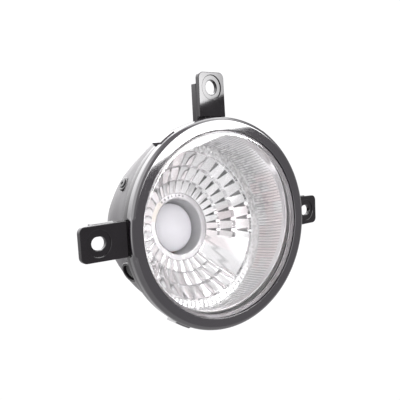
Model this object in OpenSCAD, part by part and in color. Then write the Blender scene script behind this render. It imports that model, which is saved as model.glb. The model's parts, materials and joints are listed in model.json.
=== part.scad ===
// Round fog light with a three-ear housing, a tilting reflector and a twist-in bulb holder.
// Frame: +Z up, +X to the right as seen from the front, and the lamp faces -Y.
// The origin is midway between the two side fixing holes, on the front face of the ears.

/* [Size] */
// Outer radius of the bezel ring
rim_r = 55; // [54.8:0.1:55.4]
// Inner radius of the bezel ring
bezel_in_r = 48.4; // [47.5:0.1:49]
// Thickness of the bezel's front web
bezel_t = 1.8; // [1.6:0.1:1.8]
// Radius of the bezel's rounded outer edge
bezel_round = 2.2; // [1.5:0.1:2.5]
// Depth of the bezel's side skirt
bezel_skirt = 4.6; // [4.3:0.1:4.6]
// Distance of the bezel's front face ahead of the ears, at the centre
rim_ahead = 6.8; // [6.6:0.1:7]
// Angle by which the bezel and lens are swept back towards -X
rim_rake = 4.8; // [4.5:0.1:5]
// Angle by which the beam axis rises towards the front
beam_tilt = 8; // [7.8:0.1:8.2]

/* [Ears] */
// Distance of the fixing holes from the centre
ear_hole_r = 70; // [69:0.5:71]
// Width of an ear
ear_w = 17.2; // [16:0.1:18]
// Distance from the fixing hole to the tip of a side ear
ear_tip = 9.3; // [8.5:0.1:10]
// Distance from the fixing hole to the tip of the top ear
top_ear_tip = 7.6; // [7.4:0.1:8.5]
// Thickness of an ear's plate
ear_t = 2.6; // [2.4:0.1:3]
// Depth of the ribs along an ear
ear_rib = 5.9; // [5:0.1:6.2]
// Radius of the fixing holes in the side ears
fix_r = 3; // [2.8:0.1:3.2]
// Length of the side fixing slots between their end centres
fix_slot = 1.2; // [1:0.1:1.6]
// Radius of the fixing hole in the top ear
top_fix_r = 3.6; // [3.4:0.1:3.8]

/* [Housing] */
// Wall of the housing bowl
wall = 2; // [1.9:0.05:2]
// Outer radius of the housing's front flange
flange_r = 54.4; // [54.2:0.1:54.4]
// Radius of the opening in the rear wall
rear_open_r = 24.2; // [24:0.1:24.4]

/* [Reflector] */
// Distance of the reflector's tilt axis behind the ears
pivot_y = 8; // [7.9:0.1:8.2]
// Radius of the pivot pins
pin_r = 1.5; // [1.4:0.1:1.6]
// Radial play of the pivot pins in their bushes
pin_play = 0.05; // [0.03:0.01:0.08]
// Inner radius of the reflector's neck
neck_r = 15.6; // [15.5:0.1:15.7]
// Wall of the reflector
refl_t = 1.3; // [1.2:0.1:1.3]

/* [Aim screw] */
// Distance of the aim screw below the beam axis
aim_r = 33.5; // [33.4:0.1:33.7]
// Radius of the aim screw's shank
screw_r = 2; // [1.9:0.1:2]
// Radial play of the aim screw in its bores
screw_play = 0.05; // [0.03:0.01:0.08]

/* [Bulb] */
// Radius of the bulb's flattened globe
globe_r = 13.9; // [13.7:0.05:13.95]
// Distance of the globe's widest part behind the ears
globe_d = 42.5; // [42.3:0.1:42.6]
// Rise of the globe's domed front
globe_rise = 5.2; // [4.8:0.1:5.5]
// Radius of the bulb's brass cap
cap_r = 7.5; // [7.4:0.1:7.5]

/* [Hidden] */
$fn = 96;
e = 0.05;
big = 160;

// bezel, lens and flange depths, measured back from the bezel's front face
lens_r = 53.2;
lens_t = 2.4;
lens_face_r = 48;
lens_step = 1.3;
lens_rise = 0.1;
lens_z = -bezel_t - 0.1;
gasket_in_r = 51.4;
gasket_t = 1;
seat_z = lens_z - lens_t - gasket_t;
flange_z = -bezel_skirt - 0.1;
flange_back = -9.5;
skirt_in_r = rim_r - 1.5;
rebate_r = lens_r + 0.2;
refl_front = -7.2;

// housing bowl: outer radius at each depth behind the ears, along the beam axis
bowl = [[53, -12], [53, 0], [52.6, 6], [51, 12], [49, 18], [47.4, 24], [45.5, 30], [43.4, 36],
    [40.6, 42], [37.6, 48], [35.8, 51.2], [34.8, 52]];
rear_d = 52;
dome_r = 50;
dome_out_r = 30.5;
boss_r = 4.2;
boss_front_d = 46;

// pivots: distances from the beam axis
bush_x = 49.4;
bush_r = 3;
bush_len = 3.6;
pin_x = 47;
pin_len = 5;
pivot_boss_r = 4.5;
pivot_boss_end = 54.5;

// neck, seat ring and holder depths along the beam axis
neck_wall = 1.7;
neck_out_r = neck_r + neck_wall;
neck_flange_r = 21.8;
neck_flange_d = 46.5;
neck_end_d = 49.5;
ring_t = 1.2;
ring_r = 21.5;
ring_in_r = 14.2;
ring_d = neck_end_d + ring_t;
seat_screw_circle = 19.2;
nose_r = 14;
nose_in_r = 12.9;
nose_d = 47.5;
lug_r = 15.3;
lug_w = 14;
lug_step = 120;
lug_turn = 40;
holder_flange_d = 52;
holder_flange_r = 17;
holder_flange_t = 2.5;
cup_r = 11.5;
cup_end_d = 78;
shell = [18, 12, 14];
shell_wall = 1.5;
blade_x = 4.7;
blade_w = 2.8;
blade_t = 0.8;
pin_d = 63.6;

// aim nut and arm
arm_d = 40;
arm_t = 2;
nut_gap = 0.3;
nut_neck = 5.6;
nut_collar_r = 5;
nut_collar_t = 1.6;

// ears: direction of each and length from the hole to the tip
ear_dirs = [180, 0, 90];
ear_root_r = 50;
ear_corner = 3;
ear_taper = 0.3;
rib_t = 2;
rib_past_hole = 2;
root_block = 9;
relief_r = 56.3;
recess_r = 6.1;
recess_t = 0.4;

// puts children made along +Z so that they face forwards
module face_front() {
    rotate([90, 0, 0]) children();
}

// frame of the bezel and lens: +Z forwards, zero at the bezel's front face
module rim_frame() {
    translate([0, -rim_ahead, 0]) rotate([0, 0, -rim_rake]) face_front() children();
}

// frame of the beam axis: +Z forwards, zero level with the ears
module beam_frame() {
    translate([0, pivot_y, 0]) rotate([-beam_tilt, 0, 0]) translate([0, -pivot_y, 0])
        face_front() children();
}

// ring between two radii and two depths
module ring(r_in, r_out, z0, z1) {
    rotate_extrude() translate([r_in, z0]) square([r_out - r_in, z1 - z0]);
}

function flip(p) = [for (i = [len(p) - 1:-1:0]) p[i]];
function bowl_line(inset) = [for (p = bowl) [p[0] - inset, -p[1]]];
// arc of radius r about (0, c), between two distances from the axis
function arc(r, c, x0, x1, n = 12) =
    [for (i = [0:n]) let (x = x0 + (x1 - x0) * i / n) [x, c - sqrt(r * r - x * x)]];

module behind_rim(z) {
    rim_frame() translate([-big / 2, -big / 2, z - big]) cube([big, big, big]);
}

module ear_plate(tip) {
    hull() {
        translate([ear_root_r, -ear_w / 2, 0]) cube([2, ear_w, ear_t]);
        for (s = [-1, 1]) translate([tip - ear_corner, s * (ear_w / 2 - ear_corner - ear_taper), 0])
            cylinder(r = ear_corner, h = ear_t, $fn = 32);
    }
}

module ear_ribs() {
    rib_len = ear_hole_r + rib_past_hole - ear_root_r;
    for (s = [-1, 1]) translate([ear_root_r, s * (ear_w / 2 - rib_t / 2) - rib_t / 2, 0])
        cube([rib_len, rib_t, ear_rib]);
    translate([ear_root_r, -ear_w / 2, 0]) cube([root_block, ear_w, ear_rib]);
}

// ears lie behind the plane y = 0
module ears() {
    for (a = ear_dirs) rotate([0, -a, 0]) rotate([-90, 0, 0]) {
        ear_plate(ear_hole_r + (a == 90 ? top_ear_tip : ear_tip));
        ear_ribs();
    }
}

module ear_holes() {
    for (s = [-1, 1]) for (t = [-1, 1])
        translate([s * ear_hole_r + t * fix_slot / 2, 0, 0]) rotate([90, 0, 0])
            cylinder(r = fix_r, h = 40, center = true);
    for (s = [-1, 1]) translate([s * ear_hole_r - fix_slot / 2, -20, -fix_r])
        cube([fix_slot, 40, 2 * fix_r]);
    translate([0, 0, ear_hole_r]) rotate([90, 0, 0]) cylinder(r = top_fix_r, h = 40, center = true);
}

// shallow step where each ear leaves the flange, so that a flat bracket lies on the ear alone
module ear_reliefs() {
    face_front() ring(flange_r + 0.05, relief_r, -0.3, e);
}

// shallow washer recess round each fixing hole
module ear_recesses() {
    for (p = [[-ear_hole_r, 0], [ear_hole_r, 0], [0, ear_hole_r]]) translate([p[0], 0, p[1]])
        rotate([90, 0, 0]) translate([0, 0, -recess_t]) cylinder(r = recess_r, h = 2);
}

vent_a = 150;
vent_d = 15;
vent_r = 2.2;
drain_a = 200;
drain_d = 13;
drain_r = 4;
plug_cap_t = 1.6;
plug_stem = 2;
plug_stem_r = 1.6;

// puts children on the bowl's side, pointing outwards
module on_bowl(a, d, r) {
    beam_frame() rotate([0, 0, a]) translate([r, 0, -d]) rotate([0, 90, 0]) children();
}

module pivot_spots() {
    for (s = [0, 180]) translate([0, pivot_y, 0]) rotate([0, 0, s]) rotate([0, 90, 0]) children();
}

snap_dirs = [54, 124, 239, 301];
snap_w = 9;
module snap_sectors(w) {
    rim_frame() for (a = snap_dirs) rotate([0, 0, a]) translate([50, -w / 2, -12]) cube([8, w, 11]);
}

module housing() {
    color("#17171a") difference() {
        union() {
            intersection() {
                beam_frame() rotate_extrude()
                    polygon(concat([[0, 12]], bowl_line(0), [[0, -rear_d]]));
                behind_rim(seat_z);
            }
            rim_frame() ring(30, flange_r, flange_back, flange_z);
            ears();
            pivot_spots() translate([0, 0, 48]) cylinder(r = pivot_boss_r, h = pivot_boss_end - 48);
            beam_frame() translate([0, -aim_r, -rear_d]) cylinder(r = boss_r, h = rear_d - boss_front_d);
            on_bowl(vent_a, vent_d, 47) cylinder(r = vent_r + 1.4, h = 4.2);
            on_bowl(drain_a, drain_d, 47) cylinder(r = drain_r + 1.4, h = 5.6);
        }
        // inside of the bowl, closed at the rear by a dome centred on the tilt axis
        difference() {
            beam_frame() rotate_extrude()
                polygon(concat([[0, 40], [51, 40]], [for (p = bowl) if (p[1] < 50) [p[0] - wall, -p[1]]],
                    [[35, -rear_d + wall], [dome_out_r, -rear_d + wall]],
                    flip(arc(dome_r - wall, -pivot_y, 0, dome_out_r))));
            beam_frame() translate([0, -aim_r, -rear_d]) cylinder(r = boss_r, h = rear_d - boss_front_d);
            pivot_spots() translate([0, 0, bush_x]) cylinder(r = pivot_boss_r, h = 6);
        }
        // outside of the dome, and everything behind it
        beam_frame() rotate_extrude()
            polygon(concat([[0, -90], [dome_out_r - 0.4, -90]],
                flip(arc(dome_r, -pivot_y, 0, dome_out_r - 0.4))));
        beam_frame() translate([0, 0, -90]) cylinder(r = rear_open_r, h = 60);
        // seat for the lens and its gasket
        rim_frame() translate([0, 0, seat_z]) cylinder(r = rebate_r, h = 40);
        rim_frame() ring(skirt_in_r - 0.1, rim_r + 0.15, flange_z, 20);
        // pockets behind the flange for the bezel's snap hooks
        intersection() {
            rim_frame() ring(53.05, 60, -11.2, flange_back);
            snap_sectors(snap_w + 0.4);
        }
        ear_holes();
        ear_recesses();
        ear_reliefs();
        pivot_spots() translate([0, 0, bush_x - 0.4]) cylinder(r = bush_r, h = bush_len + 0.4);
        beam_frame() translate([0, -aim_r, -60]) cylinder(r = screw_r + screw_play, h = 30);
        beam_frame() translate([0, -aim_r, -rear_d - e]) cylinder(r = oring_r + 0.1, h = oring_t + 0.2 + e);
        on_bowl(vent_a, vent_d, 40) cylinder(r = 1, h = 20);
        on_bowl(vent_a, vent_d, 49.2) cylinder(r = vent_r, h = 4);
        on_bowl(drain_a, drain_d, 49.6) cylinder(r = drain_r, h = 6);
        on_bowl(drain_a, drain_d, 40) cylinder(r = plug_stem_r, h = 20);
    }
}

// the outer edge of the bezel's face rounds off over a quarter circle
bezel_shoulder = [for (a = [90:-10:0])
    [rim_r - bezel_round + bezel_round * cos(a), bezel_round * (sin(a) - 1)]];

module bezel_ring() {
    color("#222226") difference() {
        union() {
            rim_frame() rotate_extrude() polygon(concat([[bezel_in_r, -0.4], [bezel_in_r + 0.4, 0]],
                bezel_shoulder, [[rim_r, -bezel_skirt], [skirt_in_r, -bezel_skirt],
                [skirt_in_r, -bezel_t], [bezel_in_r, -bezel_t]]));
            intersection() {
                union() {
                    rim_frame() ring(flange_r + 0.1, flange_r + 1.3, -11, -2);
                    rim_frame() ring(53.2, flange_r + 1.3, -11, flange_back - 0.1);
                }
                snap_sectors(snap_w);
            }
        }
        // gaps where the ears pass
        for (a = ear_dirs) rotate([0, -a, 0]) translate([49, -0.15, -ear_w / 2 - 0.2])
            cube([12, 20, ear_w + 0.4]);
    }
}

function dome_line(r, rise, z) = let (s = (r * r + rise * rise) / (2 * rise))
    [for (i = [0:16]) let (x = r * i / 16) [x, z + rise - s + sqrt(s * s - x * x)]];

// the face is nearly flat and stands forwards, inside the bezel's opening
module lens() {
    face_z = lens_z + lens_step;
    back_r = lens_face_r - 1.2;
    color("#dfe6ea", 0.35) rim_frame() rotate_extrude() polygon(concat(
        dome_line(lens_face_r - 0.5, lens_rise, face_z), [[lens_face_r, face_z - 0.4], [lens_face_r, lens_z],
        [lens_r, lens_z], [lens_r, lens_z - lens_t], [back_r, lens_z - lens_t]],
        flip(dome_line(back_r - 0.5, lens_rise, face_z - lens_t))));
}

module lens_gasket() {
    color("#2a2a2a") rim_frame() ring(gasket_in_r, lens_r, seat_z, seat_z + gasket_t);
}

module pivot_bushes() {
    color("#d8d4c4") pivot_spots() difference() {
        translate([0, 0, bush_x]) cylinder(r = bush_r, h = bush_len);
        translate([0, 0, bush_x - 0.4]) cylinder(r = pin_r + pin_play, h = pin_x + pin_len + 0.7 - bush_x);
    }
}

module vent_cap() {
    color("#0f0f10") on_bowl(vent_a, vent_d, 49.8) difference() {
        cylinder(r = vent_r, h = 2);
        translate([0, 0, 1]) cylinder(r = 0.8, h = 2);
        for (a = [0:120:240]) rotate([0, 0, a]) translate([1.4, 0, -e]) cylinder(r = 0.3, h = 3, $fn = 24);
    }
}

module vent_membrane() {
    color("white") on_bowl(vent_a, vent_d, 49.2) cylinder(r = vent_r, h = 0.6);
}

module drain_plug() {
    color("#0c0c0c") on_bowl(drain_a, drain_d, 49.6) difference() {
        union() {
            cylinder(r = drain_r, h = plug_cap_t);
            translate([0, 0, -plug_stem]) cylinder(r = plug_stem_r, h = plug_stem + e);
        }
        translate([0, 0, -6]) cylinder(r = 0.7, h = 10);
    }
}

// mirror side of the reflector: radius and depth of each step
mirror_line = [[neck_r, -34.7], [19.2, -34.6], [19.6, -33.8], [26, -32], [26.6, -30.8], [33.2, -26.2],
    [33.8, -24.8], [40.2, -19.8], [40.9, -18.4], [44.6, -17.6], [44.9, -16.4], [47.5, 2], [48, 14]];
back_line = [[48 + refl_t, 14], [47.5 + refl_t, 2], [45 + refl_t, -17.4], [44.6 + refl_t, -18.9],
    [41.6, -20.4], [34.5, -27.3], [27.2, -33.2], [20, -36.2], [neck_out_r, -37]];

module reflector() {
    color("#d9dadd") difference() {
        union() {
            intersection() {
                beam_frame() rotate_extrude() polygon(concat(mirror_line, back_line,
                    [[neck_out_r, -neck_flange_d], [neck_flange_r, -neck_flange_d],
                    [neck_flange_r, -neck_end_d], [neck_r, -neck_end_d]]));
                behind_rim(refl_front);
            }
            // lugs for the pivot pins
            pivot_spots() translate([0, 0, pin_x - 0.4]) cylinder(r = 3.2, h = bush_x - 0.2 - pin_x + 0.4);
            // arm for the aim nut
            beam_frame() translate([-6.5, -aim_r - 4, -arm_d - arm_t / 2])
                cube([13, aim_r + 4 - neck_r - 0.8, arm_t]);
            beam_frame() for (s = [-1, 1]) translate([s * 5.4 - 1, -25, -arm_d])
                cube([2, 25 - neck_r - 1, 6]);
        }
        beam_frame() translate([0, 0, -60]) cylinder(r = neck_r, h = 25);
        pivot_spots() translate([0, 0, pin_x]) cylinder(r = pin_r, h = 6);
        // slot for the aim nut
        beam_frame() translate([-nut_neck / 2 - nut_gap, -aim_r - 10, -arm_d - 3])
            cube([nut_neck + 2 * nut_gap, 10 + nut_neck / 2 + 1.9, 6]);
        beam_frame() for (a = [60:120:300]) rotate([0, 0, a]) translate([seat_screw_circle, 0, -60])
            cylinder(r = 1.05, h = 13.4);
    }
}

module pivot_pins() {
    color("silver") pivot_spots() translate([0, 0, pin_x]) cylinder(r = pin_r, h = pin_len);
}

module neck_seal() {
    seal_out = 27.5;
    color("#1b1b1d") beam_frame() rotate_extrude() polygon(concat(
        arc(47.85, -pivot_y, 24.6, seal_out, 6), flip(arc(46.4, -pivot_y, neck_flange_r + 1, seal_out, 6)),
        [[neck_flange_r, -neck_flange_d], [neck_flange_r, -neck_end_d + 0.3], [24.2, -neck_end_d + 0.3]]));
}

module bulb_seat_ring() {
    color("#b9bcc0") beam_frame() difference() {
        ring(ring_in_r, ring_r, -ring_d, -neck_end_d);
        for (k = [0:2]) rotate([0, 0, k * lug_step + lug_turn]) translate([0, -lug_w / 4 - 0.6, -60])
            cube([neck_r, lug_w / 2 + 1.2, 20]);
        for (a = [60:120:300]) rotate([0, 0, a]) translate([seat_screw_circle, 0, -60])
            cylinder(r = 1.3, h = 20);
    }
}

module seat_ring_screws() {
    color("#c8cacc") beam_frame() for (a = [60:120:300]) rotate([0, 0, a])
        translate([seat_screw_circle, 0, 0]) difference() {
            union() {
                translate([0, 0, -ring_d]) cylinder(r = 1, h = 3.6);
                translate([0, 0, -ring_d - 1.3]) cylinder(r = 2, h = 1.3);
            }
            translate([-1.3, -0.3, -ring_d - 1.4]) cube([2.6, 0.6, 0.7]);
            translate([-0.3, -1.3, -ring_d - 1.4]) cube([0.6, 2.6, 0.7]);
        }
}

module bulb_holder() {
    color("#1c1c1f") beam_frame() difference() {
        union() {
            rotate_extrude() polygon([[0, -nose_d], [nose_r, -nose_d], [nose_r, -holder_flange_d],
                [holder_flange_r, -holder_flange_d], [holder_flange_r, -holder_flange_d - holder_flange_t],
                [cup_r, -holder_flange_d - holder_flange_t], [cup_r, -cup_end_d], [0, -cup_end_d]]);
            // three bayonet lugs in front of the seat ring
            intersection() {
                ring(nose_r - 1, lug_r, -neck_end_d + 0.15, -nose_d);
                for (k = [0:2]) rotate([0, 0, k * lug_step]) translate([0, -lug_w / 4, -50])
                    cube([20, lug_w / 2, 4]);
            }
            translate([0, 0, -cup_end_d - shell[2] / 2 + 1])
                cube([shell[0], shell[1], shell[2] + 2], center = true);
            // grip ribs
            for (a = [30:60:330]) rotate([0, 0, a]) translate([cup_r - 0.6, -1, -cup_end_d])
                cube([3, 2, cup_end_d - holder_flange_d - 1]);
        }
        // seat for the globe and the bulb's cap
        rotate_extrude() polygon([[0, -40], [nose_in_r, -40], [nose_in_r, -nose_d - 2.4], [9.4, -56],
            [cap_r + 0.1, -57], [cap_r + 0.1, -76], [0, -76]]);
        earth_strip(0.1);
        // slots for the cap pins
        translate([-9.4, -1.2, -pin_d - 1.1]) cube([18.8, 2.4, 14]);
        // connector socket
        translate([0, 0, -cup_end_d - shell[2] / 2 - 0.5])
            cube([shell[0] - 2 * shell_wall, shell[1] - 2 * shell_wall, shell[2]], center = true);
        for (s = [-1, 1]) translate([s * blade_x, 0, -cup_end_d]) cube([blade_w, blade_t, 9], center = true);
    }
}

module holder_gasket() {
    color("#7a2f22") beam_frame() ring(14.4, 16.8, -holder_flange_d, -ring_d - 0.05);
}

module connector_terminals() {
    color("#c9a24a") beam_frame() for (s = [-1, 1]) translate([s * blade_x, 0, -82.4])
        cube([blade_w, blade_t, 13.4], center = true);
}

module contact_plate() {
    color("#c9a24a") beam_frame() difference() {
        translate([0, 0, -75.7]) cylinder(r = 3, h = 0.5);
        translate([-4, 1.8, -76]) cube([8, 3, 2]);
    }
}

spring_r = 1.7;
spring_wire = 0.25;
spring_turns = 2;
module contact_spring() {
    rise = 0.75;
    color("silver") beam_frame() for (k = [0:spring_turns - 1])
        translate([0, 0, -75.2 + spring_wire + k * rise]) rotate_extrude()
            translate([spring_r, 0]) circle(r = spring_wire, $fn = 24);
}

// bent strip beside the bulb's cap
module earth_strip(play) {
    intersection() {
        ring(cap_r, cap_r + 0.5 + play, -75 - play, -66 + play);
        translate([-2 - play, 0, -76]) cube([4 + 2 * play, 20, 12]);
    }
}

module earth_contact() {
    color("#c9a24a") beam_frame() earth_strip(0);
}

globe_rear = 9;
globe_back_a = -57;
// outline of the globe from the middle of its front to its neck
function globe_line(inset) = [for (i = [0:24]) let (a = 90 + (globe_back_a - 90) * i / 24)
    [(globe_r - inset) * cos(a), -globe_d + ((a > 0 ? globe_rise : globe_rear) - inset) * sin(a)]];

module bulb_globe() {
    glass_t = 0.7;
    color("#eceaf2", 0.9) beam_frame() rotate_extrude() polygon(concat(
        globe_line(0), [[7, -51.6], [7, -60], [6.3, -60], [6.3, -51.4]],
        flip(globe_line(glass_t))));
}

module bulb_stem() {
    color("#e6eef0", 0.6) beam_frame() rotate_extrude()
        polygon([[0, -50.5], [2.2, -50.5], [2.2, -57.5], [6.2, -60], [6.2, -61], [0, -61]]);
}

wire_x = 3.4;
module bulb_support_wires() {
    color("silver") beam_frame() for (s = [-1, 1]) {
        translate([s * 1.4, 0, -50.5]) cylinder(r = 0.3, h = 1.5);
        hull() {
            translate([s * 1.4, 0, -49]) sphere(r = 0.3, $fn = 24);
            translate([s * wire_x, 0, -47]) sphere(r = 0.3, $fn = 24);
        }
        translate([s * wire_x, 0, -47]) cylinder(r = 0.3, h = 47 - globe_d + 0.6);
    }
}

module bulb_filament() {
    color("#8a8a8a") beam_frame() translate([0, 0, -globe_d]) rotate([0, 90, 0])
        cylinder(r = 0.45, h = 2 * wire_x - 0.6, center = true);
}

module bulb_cap() {
    color("#c8a85a") beam_frame() rotate_extrude() polygon([[7.1, -56.6], [cap_r, -56.6], [cap_r, -69.6],
        [6.4, -71], [6, -71], [6, -70.6], [7.1, -69.2]]);
}

module bulb_cap_pins() {
    color("#c8a85a") beam_frame() for (s = [0, 180]) rotate([0, 0, s]) translate([cap_r, 0, -pin_d])
        rotate([0, 90, 0]) cylinder(r = 1, h = 1.5);
}

module bulb_insulator() {
    color("#241a20") beam_frame() rotate_extrude()
        polygon([[2.2, -69.6], [6, -69.6], [6, -71.2], [2.6, -72.6], [2.2, -72.6]]);
}

module bulb_end_contact() {
    color("#c4c6c8") beam_frame() rotate_extrude()
        polygon([[0, -69.6], [2.2, -69.6], [2.2, -72.8], [1.6, -73.4], [0, -73.6]]);
}

screw_tip_d = 35;
head_d = rear_d + 0.1;
flange_head_r = 4.6;
flange_head_t = 1.2;
hex_r = 4;
hex_h = 4;
slot_w = 1;
slot_len = 4.8;
oring_r = 3.3;
oring_t = 1.2;
washer_r = 2.8;
module aim_screw() {
    color("#b8babd") beam_frame() translate([0, -aim_r, 0]) difference() {
        union() {
            translate([0, 0, -head_d]) cylinder(r = screw_r, h = head_d - screw_tip_d);
            translate([0, 0, -head_d - flange_head_t]) cylinder(r = flange_head_r, h = flange_head_t);
            translate([0, 0, -head_d - hex_h - 1]) cylinder(r = hex_r, h = hex_h, $fn = 6);
        }
        // cross slot for a screwdriver
        for (a = [0, 90]) rotate([0, 0, a]) translate([-slot_len / 2, -slot_w / 2, -head_d - hex_h - 2])
            cube([slot_len, slot_w, 3]);
    }
}

module aim_screw_oring() {
    color("#101010") beam_frame() translate([0, -aim_r, 0])
        ring(screw_r, oring_r, -rear_d + 0.1, -rear_d + 0.1 + oring_t);
}

module aim_screw_washer() {
    color("#9da0a4") beam_frame() translate([0, -aim_r, 0]) difference() {
        ring(screw_r, washer_r, -boss_front_d + 0.1, -boss_front_d + 0.8);
        for (a = [0:60:300]) rotate([0, 0, a]) translate([washer_r - 0.4, -0.3, -boss_front_d - 1])
            cube([3, 0.6, 4]);
    }
}

module aim_nut() {
    gap = arm_t / 2 + nut_gap;
    color("#e6e2d6") beam_frame() translate([0, -aim_r, -arm_d]) difference() {
        union() {
            translate([0, 0, gap]) cylinder(r = nut_collar_r, h = nut_collar_t);
            translate([0, 0, -gap - nut_collar_t]) cylinder(r = nut_collar_r, h = nut_collar_t);
            cube([nut_neck, nut_neck, 2 * gap + 1], center = true);
        }
        cylinder(r = screw_r + screw_play, h = 20, center = true);
        // flat that clears the bowl
        translate([-10, -nut_collar_r - 4, -10]) cube([20, 4 + 1.2, 20]);
    }
}

housing();
bezel_ring();
lens();
lens_gasket();
pivot_bushes();
vent_cap();
vent_membrane();
drain_plug();
reflector();
pivot_pins();
neck_seal();
bulb_seat_ring();
seat_ring_screws();
bulb_holder();
holder_gasket();
connector_terminals();
contact_plate();
contact_spring();
earth_contact();
bulb_globe();
bulb_stem();
bulb_support_wires();
bulb_filament();
bulb_cap();
bulb_cap_pins();
bulb_insulator();
bulb_end_contact();
aim_screw();
aim_screw_oring();
aim_screw_washer();
aim_nut();
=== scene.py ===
import json
import math

import bmesh
import bpy
import numpy as np
from mathutils import Matrix, Vector


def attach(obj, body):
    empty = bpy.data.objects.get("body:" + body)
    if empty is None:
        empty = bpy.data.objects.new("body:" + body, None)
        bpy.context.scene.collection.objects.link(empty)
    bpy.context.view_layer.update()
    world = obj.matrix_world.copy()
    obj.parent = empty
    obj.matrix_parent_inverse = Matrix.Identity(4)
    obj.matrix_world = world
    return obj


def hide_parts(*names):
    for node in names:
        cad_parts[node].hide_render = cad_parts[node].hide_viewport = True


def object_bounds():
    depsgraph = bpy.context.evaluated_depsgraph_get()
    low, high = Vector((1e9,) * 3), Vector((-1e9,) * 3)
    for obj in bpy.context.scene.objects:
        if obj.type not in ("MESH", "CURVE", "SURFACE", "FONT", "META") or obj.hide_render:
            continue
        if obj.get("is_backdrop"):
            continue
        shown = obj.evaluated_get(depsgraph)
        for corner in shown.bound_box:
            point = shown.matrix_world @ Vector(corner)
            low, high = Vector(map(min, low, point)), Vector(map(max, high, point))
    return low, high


# lengths are in millimetres, and MM turns them into the frame's metres
MM = 0.001
TAU = 2 * math.pi
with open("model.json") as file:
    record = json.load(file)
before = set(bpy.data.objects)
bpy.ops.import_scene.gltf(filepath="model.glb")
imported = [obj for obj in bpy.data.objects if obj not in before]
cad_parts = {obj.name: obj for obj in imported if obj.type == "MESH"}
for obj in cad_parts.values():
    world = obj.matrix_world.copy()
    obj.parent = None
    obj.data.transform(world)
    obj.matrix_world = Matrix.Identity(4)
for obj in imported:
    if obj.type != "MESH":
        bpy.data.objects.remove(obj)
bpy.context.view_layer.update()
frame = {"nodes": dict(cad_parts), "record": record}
nodes = frame["nodes"]
joints = {j["name"]: j for j in frame["record"]["behaviour"]["joints"]}


# ---------------------------------------------------------------- frames
def axes(origin, forward, up=(0, 0, 1)):
    """A frame whose z points forward and whose y points as nearly up as it can."""
    z = Vector(forward).normalized()
    x = Vector(up).cross(z).normalized()
    y = z.cross(x)
    return Matrix.Translation(origin) @ Matrix((x, y, z)).transposed().to_4x4()


PIVOT = Vector(joints["reflector_tilt"]["pos_m"])
BACK = Vector(joints["bulb_twist"]["axis"]).normalized()
BEAM = axes(PIVOT - BACK * PIVOT.y, -BACK)


def verts_of(node):
    mesh = nodes[node].data
    co = np.zeros(len(mesh.vertices) * 3, np.float32)
    mesh.vertices.foreach_get("co", co)
    return co.reshape(-1, 3).astype(float)


def bezel_frame():
    """The plane of the bezel's front. Its direction is read from the flat lens gasket."""
    points = verts_of("lens_gasket")
    centre = (points.max(0) + points.min(0)) / 2
    normal = np.linalg.svd(points - points.mean(0), full_matrices=False)[2][2]
    normal = -normal if normal[1] > 0 else normal
    face = (verts_of("bezel_ring") @ normal).max()
    return axes(Vector(centre + normal * (face - centre @ normal)), normal)


RIM = bezel_frame()
RIM_INV = RIM.inverted()


def rim_depth(p):
    """How far a point, in metres, lies ahead of the bezel's front plane, in mm."""
    return (RIM_INV @ Vector(p)).z / MM


# ---------------------------------------------------------------- mesh helpers
def clean(mesh):
    """Merges doubled points, removes edges without length and turns every face outward."""
    bm = bmesh.new()
    bm.from_mesh(mesh)
    bmesh.ops.remove_doubles(bm, verts=bm.verts, dist=1e-6)
    bmesh.ops.dissolve_degenerate(bm, edges=bm.edges, dist=1e-7)
    bmesh.ops.recalc_face_normals(bm, faces=bm.faces)
    bm.to_mesh(mesh)
    bm.free()


def piece(name, mesh, smooth):
    """Cleans a mesh and links it as an object. Edges sharper than the smooth angle stay sharp."""
    clean(mesh)
    mesh.polygons.foreach_set("use_smooth", [True] * len(mesh.polygons))
    mesh.set_sharp_from_angle(angle=math.radians(smooth))
    ob = bpy.data.objects.new(name, mesh)
    bpy.context.scene.collection.objects.link(ob)
    return ob


def fillet(poly, radii, steps=5):
    """Rounds the corners of a closed outline. radii is one radius or one for each corner."""
    n = len(poly)
    radii = [radii] * n if isinstance(radii, (int, float)) else radii
    out = []
    for i in range(n):
        p, a, b = (Vector(poly[j]) for j in (i, i - 1, (i + 1) % n))
        u, v = (a - p), (b - p)
        lu, lv = u.length, v.length
        u, v = u / lu, v / lv
        cosang = max(-1, min(1, u.dot(v)))
        half = math.acos(cosang) / 2
        if radii[i] <= 0 or half > math.radians(88):
            out.append(tuple(p))
            continue
        cut = min(radii[i] / math.tan(half), lu * 0.48, lv * 0.48)
        r = cut * math.tan(half)
        centre = p + (u + v).normalized() * (r / math.sin(half))
        s, e = p + u * cut - centre, p + v * cut - centre
        sweep = math.atan2(s.x * e.y - s.y * e.x, s.dot(e))
        for k in range(steps + 1):
            t = sweep * k / steps
            out.append(
                (
                    centre.x + s.x * math.cos(t) - s.y * math.sin(t),
                    centre.y + s.x * math.sin(t) + s.y * math.cos(t),
                )
            )
    return out


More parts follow.
